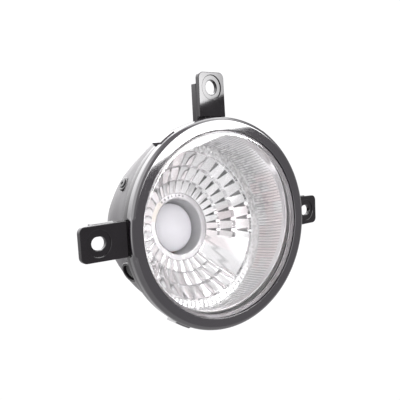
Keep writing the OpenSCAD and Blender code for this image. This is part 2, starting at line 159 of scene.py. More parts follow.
def lathe(name, profile, where, mats, n=256, smooth=35, index_fn=None, start=0, end=TAU, shade_fn=None):
    """Turns a closed outline of (radius, height) about +Z. profile may be a function of the angle."""
    full = end - start > TAU - 1e-6
    count = n if full else n + 1
    rows = []
    for i in range(count):
        a = start + (end - start) * i / n
        pts = profile(a) if callable(profile) else profile
        rows.append([(r * math.cos(a), r * math.sin(a), z) for r, z in pts])
    k = len(rows[0])
    pts = np.array(rows, float).reshape(-1, 3) * MM
    mat = np.array(where)
    pts = pts @ mat[:3, :3].T + mat[:3, 3]
    faces, index = [], []
    for i in range(n):
        i2 = (i + 1) % count
        for j in range(k):
            j2 = (j + 1) % k
            faces.append((i * k + j, i2 * k + j, i2 * k + j2, i * k + j2))
            index.append(index_fn(j) if index_fn else 0)
    if not full:
        faces.append(tuple(range(k))[::-1])
        faces.append(tuple((count - 1) * k + j for j in range(k)))
        index += [0, 0]
    mesh = bpy.data.meshes.new(name)
    mesh.from_pydata([tuple(p) for p in pts], [], faces)
    for m in mats:
        mesh.materials.append(m)
    mesh.polygons.foreach_set("material_index", index)
    mesh.validate()
    if shade_fn:
        shades = []
        for i in range(count):
            for j in range(k):
                shades += [*shade_fn(start + (end - start) * i / n, j), 1]
        mesh.color_attributes.new("shade", "FLOAT_COLOR", "POINT").data.foreach_set("color", shades)
    return piece(name, mesh, smooth)


def from_curve(name, curve, mats):
    """The mesh that a curve makes."""
    ob = bpy.data.objects.new(name + "_curve", curve)
    bpy.context.scene.collection.objects.link(ob)
    bpy.context.view_layer.update()
    mesh = bpy.data.meshes.new_from_object(ob.evaluated_get(bpy.context.evaluated_depsgraph_get()))
    bpy.data.objects.remove(ob)
    mesh.name = name
    mesh.materials.clear()
    for m in mats:
        mesh.materials.append(m)
    return mesh


def plate(name, outlines, depth, where, mats, bevel=0.3, smooth=14):
    """A flat plate with rounded edges and its front at 0. The outlines are its edge, then its holes."""
    curve = bpy.data.curves.new(name, "CURVE")
    curve.dimensions = "2D"
    curve.fill_mode = "BOTH"
    for line in outlines:
        s = curve.splines.new("POLY")
        s.points.add(len(line) - 1)
        for p, (x, y) in zip(s.points, line):
            p.co = (x, y, 0, 1)
        s.use_cyclic_u = True
    curve.extrude = depth / 2 - bevel
    curve.bevel_depth = bevel
    curve.offset = -bevel
    curve.bevel_resolution = 2
    mesh = from_curve(name, curve, mats)
    mesh.transform(where @ Matrix.Scale(MM, 4) @ Matrix.Translation((0, 0, -depth / 2)))
    return piece(name, mesh, smooth)


def flatten_shading(ob):
    """Keeps large flat faces flat next to their rounded edges."""
    mod = ob.modifiers.new("weighted_normals", "WEIGHTED_NORMAL")
    mod.weight = 100
    mod.keep_sharp = True


def rounded_rect(x0, x1, y0, y1, r):
    return fillet([(x0, y0), (x1, y0), (x1, y1), (x0, y1)], r, 6)


def circle(x, y, r, n=48):
    return [(x + r * math.cos(TAU * i / n), y + r * math.sin(TAU * i / n)) for i in range(n)]


def oblong(x, y, r, run, n=24):
    """A slotted hole: two half circles, run apart along x."""
    out = []
    for side, a0 in ((1, -math.pi / 2), (-1, math.pi / 2)):
        for i in range(n + 1):
            a = a0 + math.pi * i / n
            out.append((x + side * run / 2 + r * math.cos(a), y + r * math.sin(a)))
    return out


def tube(name, points, radius, mats, res=4):
    """A round wire along a line of points."""
    curve = bpy.data.curves.new(name, "CURVE")
    curve.dimensions = "3D"
    s = curve.splines.new("POLY")
    s.points.add(len(points) - 1)
    for p, q in zip(s.points, points):
        p.co = (*q, 1)
    curve.bevel_depth = radius
    curve.bevel_resolution = res
    curve.use_fill_caps = True
    return piece(name, from_curve(name, curve, mats), 50)


def at(where, x=0, y=0, z=0):
    """Moves a frame by millimetres along its own axes."""
    return where @ Matrix.Translation((x * MM, y * MM, z * MM))


# ---------------------------------------------------------------- materials
DUST = (0.35, 0.34, 0.33, 1)


def material(
    name, color, rough, metallic=0.0, spread=0.06, scale=60, bump=0.02, fine=900,
    tint=None, tint_amount=0.25, dust=0.0, shaded=False, **sockets,
):
    """A principled material whose colour, roughness and surface vary with two noises."""
    m = bpy.data.materials.new(name)
    m.use_nodes = True
    tree = m.node_tree
    link = tree.links.new
    shader = tree.nodes["Principled BSDF"]
    place = tree.nodes.new("ShaderNodeTexCoord").outputs["Object"]

    def noise(size, detail):
        node = tree.nodes.new("ShaderNodeTexNoise")
        node.inputs["Scale"].default_value = size
        node.inputs["Detail"].default_value = detail
        link(place, node.inputs["Vector"])
        return node.outputs["Fac"]

    def remap(value, start, end, low, high):
        node = tree.nodes.new("ShaderNodeMapRange")
        for key, number in (("From Min", start), ("From Max", end), ("To Min", low), ("To Max", high)):
            node.inputs[key].default_value = number
        link(value, node.inputs["Value"])
        return node.outputs["Result"]

    def mixed(factor, first, second, blend="MIX"):
        node = tree.nodes.new("ShaderNodeMix")
        node.data_type = "RGBA"
        node.blend_type = blend
        for key, value in (("Factor", factor), ("A", first), ("B", second)):
            if isinstance(value, bpy.types.NodeSocket):
                link(value, node.inputs[key])
            else:
                node.inputs[key].default_value = value
        return node.outputs["Result"]

    slow, quick = noise(scale, 6), noise(fine, 4)
    # colour: base, a slow tint, and dust caught in fine spots
    tint = tint or [c * 0.75 + 0.02 for c in color]
    colour = mixed(remap(slow, 0.35, 0.75, 0, tint_amount), (*color, 1), (*tint, 1))
    if dust:
        colour = mixed(remap(quick, 0.62, 0.78, 0, dust), colour, DUST)
    # the shade attribute multiplies the colour by painted shade and painted reflections
    if shaded:
        own = tree.nodes.new("ShaderNodeAttribute")
        own.attribute_name = "shade"
        colour = mixed(1, colour, own.outputs["Color"], "MULTIPLY")
    link(colour, shader.inputs["Base Color"])
    link(remap(slow, 0.3, 0.7, max(0.0, rough - spread), rough + spread), shader.inputs["Roughness"])
    shader.inputs["Metallic"].default_value = metallic
    if bump:
        ripple = tree.nodes.new("ShaderNodeBump")
        ripple.inputs["Strength"].default_value = bump
        ripple.inputs["Distance"].default_value = 0.4 * MM
        link(quick, ripple.inputs["Height"])
        link(ripple.outputs["Normal"], shader.inputs["Normal"])
    for key, value in sockets.items():
        shader.inputs[key.replace("_", " ")].default_value = value
    return m


BOWL = material("bowl_satin", (0.018, 0.016, 0.019), 0.5, spread=0.06, bump=0.08, dust=0.03,
                tint=(0.03, 0.026, 0.028))
# the black housing's inside wall gets a light grey near the front: painted light where it is seen past the
# reflector
INSIDE_PAINTED_LIGHT = material("bowl_inside_painted_light", (0.74, 0.71, 0.73), 0.4, spread=0.08, bump=0.06, tint=(0.3, 0.27, 0.28))
GLOSS = material("gloss_black", (0.004, 0.003, 0.004), 0.03, spread=0.012, bump=0.002, dust=0.01,
                 tint=(0.014, 0.012, 0.015), Specular_IOR_Level=0.32)
BEZEL = material("bezel_gloss", (0.009, 0.007, 0.01), 0.05, spread=0.02, bump=0.002, dust=0.01,
                 tint=(0.016, 0.012, 0.016), IOR=1.84)
SATIN = material("satin_black", (0.022, 0.022, 0.024), 0.42, spread=0.1, bump=0.12, dust=0.08)
RUBBER = material("rubber_black", (0.018, 0.018, 0.018), 0.7, spread=0.1, bump=0.2, dust=0.1)
MIRROR = material("mirror_coat", (0.96, 0.96, 0.965), 0.06, metallic=0.84, spread=0.03, bump=0.01,
                  tint=(0.9, 0.88, 0.89), scale=40, shaded=True)
FLUTED = material("mirror_coat_fluted", (1.0, 1.0, 1.0), 0.1, metallic=0.35, spread=0.04, bump=0.01,
                  tint=(0.96, 0.94, 0.95), scale=40, shaded=True)
BMC = material("moulding_grey", (0.32, 0.32, 0.31), 0.6, spread=0.1, bump=0.2)
NECK = material("neck_grey", (0.58, 0.58, 0.59), 0.38, spread=0.08, bump=0.05)
RING = material("ring_satin", (0.45, 0.44, 0.45), 0.32, metallic=0.3, spread=0.08, bump=0.05,
                tint=(0.38, 0.36, 0.37), shaded=True)
LENS = material("lens_clear", (0.985, 0.982, 0.985), 0.012, spread=0.01, bump=0.0, tint=(0.97, 0.965, 0.97),
                Transmission_Weight=1.0, IOR=1.49)
FROST = material("lens_frosted_edge", (0.8, 0.78, 0.8), 0.45, spread=0.1, bump=0.15, scale=90,
                 tint=(0.5, 0.45, 0.46), tint_amount=0.7)
# the pearl globe glows faintly though the bulb is off: painted light
PEARL_PAINTED_GLOW = material("pearl_glass", (0.72, 0.71, 0.74), 0.34, spread=0.06, bump=0.02, tint=(0.82, 0.81, 0.87),
                 Emission_Color=(0.86, 0.85, 0.9, 1), Emission_Strength=0.17)
STEM = material("stem_glass", (0.9, 0.95, 0.95), 0.05, spread=0.03, bump=0.0, Transmission_Weight=0.8)
STEEL = material("zinc_steel", (0.62, 0.62, 0.64), 0.3, metallic=1.0, spread=0.1, bump=0.06,
                 tint=(0.5, 0.49, 0.46))
BRASS = material("brass", (0.72, 0.52, 0.24), 0.28, metallic=1.0, spread=0.1, bump=0.06,
                 tint=(0.5, 0.34, 0.16))
NYLON = material("nylon", (0.78, 0.75, 0.66), 0.45, spread=0.08, bump=0.08)
SILICONE = material("silicone_red", (0.38, 0.08, 0.05), 0.5, spread=0.08, bump=0.1)
WHITE = material("membrane", (0.8, 0.8, 0.8), 0.8, spread=0.05, bump=0.3)
DARK_GLASS = material("black_glass", (0.02, 0.012, 0.018), 0.12, spread=0.05, bump=0.02)
TUNGSTEN = material("tungsten", (0.3, 0.3, 0.32), 0.5, metallic=1.0, spread=0.1, bump=0.1)
SOLDER = material("solder", (0.66, 0.67, 0.69), 0.35, metallic=1.0, spread=0.1, bump=0.1)

LAMP, REFL, BULB, SCREW = "lamp_body", "reflector_unit", "bulb_unit", "aim_screw_unit"


def done(ob, body, slot, *stands_for):
    """Says which body a piece moves with and which CAD nodes it stands for; the slot is not used."""
    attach(ob, body)
    if stands_for:
        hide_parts(*stands_for)
    return ob


def turned(name, outline, radii, where, mat, n, body, slot, *stands_for, steps=5, **arc):
    """A turned piece from a closed outline of (radius, height) whose corners are rounded."""
    shape = fillet(outline, radii, steps)
    return done(lathe(name, shape, where, [mat], n=n, **arc), body, slot, *stands_for)


def sleeve(inner, outer, low, high):
    """The outline of a plain ring, from its inner corner at the low end round to the inner high one."""
    return [(inner, low), (outer, low), (outer, high), (inner, high)]


# CAD nodes that stay as they are get a real material
for names, coat, look in (
    (("pivot_bushes", "aim_nut"), NYLON, "nylon"),
    (("vent_membrane",), WHITE, "membrane_white"),
    (("lens_gasket", "neck_seal", "aim_screw_oring"), RUBBER, "black_rubber"),
    (("pivot_pins", "aim_screw_washer"), STEEL, "steel"),
    (("holder_gasket",), SILICONE, "silicone_red"),
    (("connector_terminals", "contact_plate", "earth_contact", "bulb_cap_pins"), BRASS, "brass"),
    (("bulb_insulator",), DARK_GLASS, "black_glass"),
    (("bulb_seat_ring", "seat_ring_screws"), STEEL, "zinc_steel"),
):
    for name in names:
        nodes[name].data.materials.clear()
        nodes[name].data.materials.append(coat)

# ---------------------------------------------------------------- housing bowl
BOWL_R = [53.0, 53.0, 52.6, 51.0, 49.0, 47.4, 45.5, 43.4, 40.6, 37.6, 35.8]
BOWL_D = [-12, 0, 6, 12, 18, 24, 30, 36, 42, 48, 51.2]
WALL = 2.0
REAR_D = 52.0
# the spherical rear wall's outer and inner radius, and the hole in its middle
DOME_R, DOME_IN_R, REAR_HOLE_R = 50.0, 48.0, 24.2
# how far the fronts of the bowl and of the reflector stand from the bezel's plane
BOWL_FRONT, REFLECTOR_FRONT = -8.5, -7.2
BOWL_STEPS = 36
PIVOT_D = PIVOT.y / MM


def bowl_r(d):
    """Smoothed outer radius of the bowl at a depth behind the ears."""
    return float(np.mean([np.interp(d + k, BOWL_D, BOWL_R) for k in (-3, -1.5, 0, 1.5, 3)]))


def beam_cut(r, a, level):
    """Height along the beam axis at which a line at radius r and angle a meets a plane behind the bezel."""
    p0 = rim_depth(BEAM @ Vector((r * math.cos(a) * MM, r * math.sin(a) * MM, 0)))
    p1 = rim_depth(BEAM @ Vector((r * math.cos(a) * MM, r * math.sin(a) * MM, 0.001)))
    return (level - p0) / (p1 - p0)


def dome_z(r, radius):
    """Height along the beam axis of a sphere round the pivot."""
    return -(PIVOT_D + math.sqrt(radius * radius - r * r))


def bowl_profile(a):
    """The bowl's outline at an angle round the beam: outside, rear dome, then inside."""
    front = beam_cut(52.5, a, BOWL_FRONT)
    out = []
    for i in range(BOWL_STEPS + 1):
        d = -front + (REAR_D - 1.6 + front) * i / BOWL_STEPS
        out.append((bowl_r(d), -d))
    out += fillet([(35.6, -51.0), (34.9, -REAR_D), (30.4, -REAR_D)], [0, 1.0, 0])[1:-1]
    out += [(30.9, -REAR_D), (30.5, -REAR_D + 0.1), (30.2, -REAR_D + 0.5), (30.1, dome_z(30.1, DOME_R) - 0.5)]
    out += [(r, dome_z(r, DOME_R)) for r in np.linspace(29.8, 24.6, 8)]
    out += [(REAR_HOLE_R + 0.05, dome_z(REAR_HOLE_R, DOME_R) + 0.3)]
    out += [(REAR_HOLE_R, dome_z(REAR_HOLE_R, DOME_IN_R) - 0.3)]
    out += [(r, dome_z(r, DOME_IN_R)) for r in np.linspace(24.6, 30.4, 8)]
    out += [(30.9, -REAR_D + 2), (33.4, -REAR_D + 2)]
    for i in range(BOWL_STEPS, -1, -1):
        d = -front + (REAR_D - 3 + front) * i / BOWL_STEPS
        out.append((bowl_r(d) - WALL, -d))
    return out


# the inside wall's points come last in the outline, from the rear to the front
INNER_FROM = len(bowl_profile(0)) - BOWL_STEPS - 1
PAINTED_LIGHT_FROM = INNER_FROM + 2 * BOWL_STEPS // 3
PAINTED_LIGHT_TO = INNER_FROM + BOWL_STEPS


def bowl_index(j):
    """The front of the inside wall, seen past the edge of the reflector, is lighter: painted light on the
    black housing.
    """
    return 1 if PAINTED_LIGHT_FROM <= j < PAINTED_LIGHT_TO else 0


done(
    lathe("housing_bowl", bowl_profile, BEAM, [BOWL, INSIDE_PAINTED_LIGHT], n=288, index_fn=bowl_index),
    LAMP, "housing_black", "housing",
)
turned(
    "housing_flange",
    [(50.9, -9.5), (54.4, -9.5), (54.4, -4.7), (53.5, -4.7), (53.5, -5.3), (50.9, -5.3)],
    [0.2, 0.5, 0.35, 0.1, 0.1, 0.2],
    RIM, GLOSS, 288, LAMP, "housing_black",
)


# ---------------------------------------------------------------- ears
def ear_frame(angle):
    """A frame with x pointing outward along the ear and z to the front."""
    r = Vector((math.cos(angle), 0, math.sin(angle)))
    t = Vector((-math.sin(angle), 0, math.cos(angle)))
    return Matrix((r, t, Vector((0, -1, 0)))).transposed().to_4x4()


EAR_W, EAR_T, EAR_RIB, HOLE_R = 17.2, 2.6, 5.9, 70.0
# the ear's foot, its corners, how much it narrows at each side, and the shallow seat round its hole
EAR_FOOT, EAR_CORNER, EAR_TAPER, SEAT_R, LIP = 55.3, 3, 0.35, 6.1, 0.45
RIB_FROM, RIB_HALF, ROOT_FROM, ROOT_TO = 52.4, 1, 52.2, 59


def ear(name, angle, tip, hole, slot_run):
    """A flat ear with its screw hole, two ribs behind it and a block that joins it to the bowl."""
    w = EAR_W / 2
    end = HOLE_R + tip
    M = ear_frame(angle)
    edge = fillet([(EAR_FOOT, -w), (end, -w + EAR_TAPER), (end, w - EAR_TAPER), (EAR_FOOT, w)],
                  [0.3, EAR_CORNER, EAR_CORNER, 0.3], 8)
    if slot_run:
        bore = oblong(HOLE_R, 0, hole, slot_run)
    else:
        bore = circle(HOLE_R, 0, hole)
    parts = [
        plate(name + "_plate", [edge, bore], EAR_T - LIP, at(M, z=-LIP), [GLOSS], 0.35),
        plate(name + "_face", [edge, circle(HOLE_R, 0, SEAT_R)], LIP + 0.4, M, [GLOSS], 0.3),
    ]
    for k, s in enumerate((-1, 1)):
        y = s * (w - RIB_HALF)
        parts.append(
            plate(f"{name}_rib_{k}", [rounded_rect(RIB_FROM, HOLE_R + 2, y - RIB_HALF, y + RIB_HALF, 0.4)],
                  EAR_RIB - EAR_T + 0.3, at(M, z=-EAR_T + 0.3), [GLOSS], 0.3)
        )
    parts.append(
        plate(name + "_root", [rounded_rect(ROOT_FROM, ROOT_TO, -w + 0.05, w - 0.05, 0.4)],
              EAR_RIB - EAR_T + 0.2, at(M, z=-EAR_T + 0.2), [GLOSS], 0.3)
    )
    for p in parts:
        done(p, LAMP, "housing_black")
    return parts


ear("ear_left", math.pi, 9.3, 3.0, 1.2)
ear("ear_right", 0, 9.3, 3.0, 1.2)
ear("ear_top", math.pi / 2, 7.6, 3.6, 0)

# ---------------------------------------------------------------- bosses on the bowl
for k, side in enumerate((1, -1)):
    turned(
        f"pivot_boss_{k}",
        [(3.02, 49.6), (4.5, 49.6), (4.5, 54.4), (0.01, 54.4), (0.01, 53.1), (3.02, 53.1)],
        [0.1, 0.1, 0.6, 0, 0, 0.1],
        axes(PIVOT, (side, 0, 0)), GLOSS, 64, LAMP, "housing_black",
    )
AIM_R = (BEAM.inverted() @ Vector(joints["aim_screw_turn"]["pos_m"])).y / MM
AIM = at(BEAM, y=AIM_R)
turned(
    "aim_boss",
    [(2.06, -46), (4.2, -46), (4.2, -52.1), (3.4, -52.1), (3.4, -50.6), (2.06, -50.6)],
    [0.1, 0.1, 0.4, 0.15, 0.05, 0.05],
    AIM, GLOSS, 64, LAMP, "housing_black",
)


def bowl_spot(deg, depth):
    """A frame on the beam axis, behind the ears by the depth, that looks out of the bowl's side."""
    a = math.radians(deg)
    out = Vector((math.cos(a), math.sin(a), 0))
    return axes(BEAM @ Vector((0, 0, -depth * MM)), BEAM.to_3x3() @ out, -BACK)


VENT = bowl_spot(150, 15)
turned(
    "vent_boss",
    sleeve(2.22, 3.6, 46, 51.2),
    [0, 0, 0.5, 0.3],
    VENT, GLOSS, 64, LAMP, "housing_black",
)
turned(
    "vent_cap_detail",
    [(0.8, 51.8), (0.8, 50.8), (0.01, 50.8), (0.01, 49.8), (2.18, 49.8), (2.18, 51.8)],
    [0.25, 0.1, 0, 0, 0.1, 0.35],
    VENT, SATIN, 64, LAMP, "vent_black", "vent_cap",
)
DRAIN = bowl_spot(200, 13)
turned(
    "drain_boss",
    sleeve(4.02, 5.4, 46, 52.6),
    [0, 0, 0.6, 0.4],
    DRAIN, GLOSS, 72, LAMP, "housing_black",
)
turned(
    "drain_plug_detail",
    [(0.7, 47.6), (1.58, 47.6), (1.58, 49.6), (3.95, 49.6), (3.95, 51.2),
     (3.0, 51.2), (2.6, 50.8), (1.2, 50.8), (0.7, 51.2)],
    [0.1, 0.2, 0.1, 0.3, 0.4, 0.2, 0.2, 0.2, 0.2],
    DRAIN, RUBBER, 72, LAMP, "black_rubber", "drain_plug",
)

# ---------------------------------------------------------------- bezel ring
SKIRT, SHORT_SKIRT = -4.6, -2.05
BEZEL_ROUND, SHORT_ROUND = 2.2, 1.6
EAR_HALF = math.atan2(EAR_W / 2 + 0.2, 54)
SNAP_DEGREES, SNAP_HALF = (54, 124, 239, 301), math.radians(4.7)


def bezel_profile(a):
    """The skirt is short where the bezel crosses the left ear."""
    short = abs(a - math.pi) < EAR_HALF
    end, rounding = (SHORT_SKIRT, SHORT_ROUND) if short else (SKIRT, BEZEL_ROUND)
    return fillet(
        [(48.4, -0.2), (48.6, 0.0), (55.0, 0.0), (55.0, end), (53.5, end), (53.5, -1.8), (48.4, -1.8)],
        [0.1, 0.2, rounding, 0.25, 0.2, 0.1, 0.1], 10)


bezel = done(
    lathe("bezel_ring_detail", bezel_profile, RIM, [BEZEL], n=360), LAMP, "bezel_black", "bezel_ring",
)
flatten_shading(bezel)
for k, middle in enumerate(np.radians(SNAP_DEGREES)):
    turned(
        f"bezel_snap_{k}",
        [(54.5, -2.2), (55.1, -2.0), (55.7, -2.8), (55.7, -10.9),
         (53.3, -10.9), (53.3, -9.65), (54.5, -9.65)],
        [0.1, 0.3, 0.4, 0.5, 0.3, 0.1, 0.3],
        RIM, BEZEL, 14, LAMP, "bezel_black", steps=3, start=middle - SNAP_HALF, end=middle + SNAP_HALF,
    )

# ---------------------------------------------------------------- lens
LENS_Z, LENS_T, LENS_STEP, LENS_RISE, FACE_R = -1.9, 2.4, 1.3, 0.1, 48.0
# points along the face, and points at each end of the border that stay clear
FACE_POINTS, BORDER = 40, 4


def lens_line(r_end, z):
    """A shallow arc from the middle of the lens outward."""
    s = (r_end * r_end + LENS_RISE * LENS_RISE) / (2 * LENS_RISE)
    return [(r, z + LENS_RISE - s + math.sqrt(s * s - r * r)) for r in np.linspace(0.02, r_end, FACE_POINTS)]


LENS_FRONT = LENS_Z + LENS_STEP
LENS_EDGE = fillet(
    [(FACE_R - 0.6, LENS_FRONT), (FACE_R, LENS_FRONT - 0.15), (FACE_R, LENS_Z), (53.2, LENS_Z),
     (53.2, LENS_Z - LENS_T), (FACE_R - 1.2, LENS_Z - LENS_T), (FACE_R - 1.2, LENS_FRONT - LENS_T),
     (FACE_R - 2, LENS_FRONT - LENS_T)],
    [0, 0.3, 0.2, 0.4, 0.4, 0.3, 0.3, 0], 4)[1:-1]


def lens_index(j):
    """The border behind the bezel is frosted."""
    return 1 if BORDER <= j - FACE_POINTS < len(LENS_EDGE) - BORDER else 0


lens_front = lens_line(FACE_R - 0.9, LENS_FRONT)
lens_back = lens_line(FACE_R - 1.8, LENS_FRONT - LENS_T)
done(
    lathe("lens_face", lens_front + LENS_EDGE + lens_back[::-1], RIM, [LENS, FROST],
          n=288, smooth=60, index_fn=lens_index),
    LAMP, "lens_clear", "lens",
)

# ---------------------------------------------------------------- reflector
# columns of the mesh: so many to a facet, to a flute and to a small cushion outside the facets
FACETS, PER_FACET, FLUTE, CUSHION = 32, 33, 6, 11
COUNT = FACETS * PER_FACET
# points of the outline: on the ring round the neck, a row of facets, the step outside them and a flute
RING_POINTS, ROW_POINTS, STEP_POINTS, FLUTE_POINTS = 7, 9, 6, 12
T_REFL = 1.3
NECK_R = 15.6
# inner radius and height, then outer radius and height, of each row of facets, and how far they bow out
ROWS = [(19.3, -34.4, 25.5, -32.1), (26.5, -30.8, 32.7, -26.7), (33.9, -24.9, 40.0, -20.0)]
LIFTS = (0.24, 0.32, 0.4)
SCALLOP, FLUTE_DEPTH, CUSHION_DEPTH = 0.5, 0.3, 0.22
PATCH_FROM, PATCH_TO = math.radians(-54), math.radians(-20)
RING_DOT_STEP = 8.5
# the reflector's materials, in the order of its slots
COATED, UNCOATED, NECK_PART, RING_PART, FLUTED_PART = range(5)


def wall_r(z):
    """Inner radius of the reflector's side wall at a height along the beam axis."""
    return float(np.interp(z, [-16.4, 2, 14], [44.9, 47.5, 48.0]))


def spread_of(*keys):
    """The same number between 0 and 1 each time for the same keys."""
    return (math.sin(sum((k + 1) * f for k, f in zip(keys, (12.9898, 78.233, 37.719)))) * 43758.5453) % 1.0


def soft(x, start, end):
    """Rises smoothly from 0 at start to 1 at end."""
    t = max(0.0, min(1.0, (x - start) / (end - start)))
    return t * t * (3 - 2 * t)


def window(x, start, end, blur):
    """1 between start and end, and 0 further than blur outside them."""
    return soft(x, start - blur, start) * (1 - soft(x, end, end + blur))


def hump(u):
    """An arch that is 0 at both ends and 1 in the middle."""
    return 1 - (2 * u - 1) ** 2


def degrees_round(a):
    """An angle in degrees between -180 and 180."""
    return (math.degrees(a) + 180) % 360 - 180


def step_ring(r0, z0, r1, z1, u, lift, plain, tilt):
    """One ring of facets, each bowed across its width, between two edges. plain smooths them away."""
    n = Vector((-(z1 - z0), r1 - r0)).normalized()
    out = []
    for k in range(ROW_POINTS):
        t = k / (ROW_POINTS - 1)
        h = (1 - plain) * (lift * hump(u) * (0.9 + 0.1 * hump(t)) + tilt * (t - 0.5))
        bulge = SCALLOP * (hump(u) - 0.5) * t * (1 - plain)
        r, z = r0 + (r1 - r0) * t + n.x * h + bulge, z0 + (z1 - z0) * t + n.y * h
        if plain > 0:
            q = max(0.0, (r - ROWS[0][0]) / (ROWS[-1][2] - ROWS[0][0]))
            smooth_z = ROWS[0][1] + (ROWS[-1][3] - ROWS[0][1]) * q ** 1.35
            z += (smooth_z - z) * plain
        out.append((r, z))
    return out


# stretches of the reflector where painted shade, painted reflections and speckle differ, in degrees round the
# beam from the right side upward
TOP, RIGHT, RIGHT_AND_TOP, BOTTOM, DOTTED = (64, 165), (-16, 54), (-16, 165), (-168, -56), (8, 100)
# where each material starts along the outline; reflector_profile fills it in
SPLITS = {}


def patch(a):
    """1 inside the plain patch of the reflector and 0 outside it."""
    a = (a + math.pi) % TAU - math.pi
    inside = min(a - PATCH_FROM, PATCH_TO - a) / math.radians(3)
    return max(0.0, min(1.0, inside + 0.5))


def reflector_profile(a):
    """The reflector's outline at an angle round the beam: neck, ring, facets, flutes, band, then the back."""
    i = int(round(a / TAU * COUNT)) % COUNT
    u = (i % PER_FACET) / PER_FACET
    v = (i % FLUTE) / FLUTE
    w = (i % CUSHION) / CUSHION
    top = beam_cut(48, a, REFLECTOR_FRONT)
    plain = patch(a)
    out = [(NECK_R, z) for z in (-49.45, -46)]
    out += [(NECK_R - 0.25, -45.8), (NECK_R - 0.25, -44.9), (NECK_R, -44.7), (NECK_R, -43.2),
            (NECK_R + 0.2, -43), (NECK_R + 0.2, -42.5), (NECK_R, -42.3), (NECK_R, -38), (NECK_R, -35.2)]
    out += [(NECK_R + 0.15, -34.85), (NECK_R + 0.5, -34.7)]
    SPLITS["neck"] = len(out)
    out += [(r, -34.66) for r in np.linspace(16.5, 18.9, RING_POINTS)]
    SPLITS["ring"] = len(out)
    low_side = window(degrees_round(a), *BOTTOM, 8)
    for row, lift in zip(ROWS, LIFTS):
        tilt = (spread_of(i // PER_FACET, row[0], 6) - 0.5) * (0.12 + 0.7 * low_side)
        out += step_ring(*row, u, lift * (1 + low_side), plain, tilt)
    out += [(40.6, -18.6)]
    for k in range(STEP_POINTS):
        t = k / (STEP_POINTS - 1)
        out.append((41.0 + 3.6 * t, -18.35 + 0.8 * t + CUSHION_DEPTH * hump(w) * hump((t * 2) % 1.0)))
    out.append((44.9, -16.6))
    low, high = -16.0, min(1.5, top - 3.2)
    for k in range(FLUTE_POINTS):
        t = k / (FLUTE_POINTS - 1)
        z = low + (high - low) * t
        out.append((wall_r(z) - FLUTE_DEPTH * hump(v) * min(1, 6 * t, 6 * (1 - t)), z))
    for t in (0.15, 0.5, 1):
        z = high + (top - 0.25 - high) * t
        out.append((wall_r(z), z))
    SPLITS["mirror"] = len(out)
    out.append((wall_r(top) + 0.3, top))
    out.append((wall_r(top) + T_REFL - 0.3, top))
    out.append((wall_r(top) + T_REFL, top - 0.3))
    for t in np.linspace(0.1, 1, 6):
        z = top + (-17.4 - top) * t
        out.append((wall_r(z) + T_REFL, z))
    out += [(45.8, -18.9), (41.6, -20.4), (34.5, -27.3), (27.2, -33.2), (20, -36.2), (17.6, -36.9),
            (17.3, -37.4), (17.3, -46.2), (17.5, -46.5), (21.5, -46.5), (21.8, -46.8), (21.8, -49.2),
            (21.5, -49.5), (15.9, -49.5)]
    return out


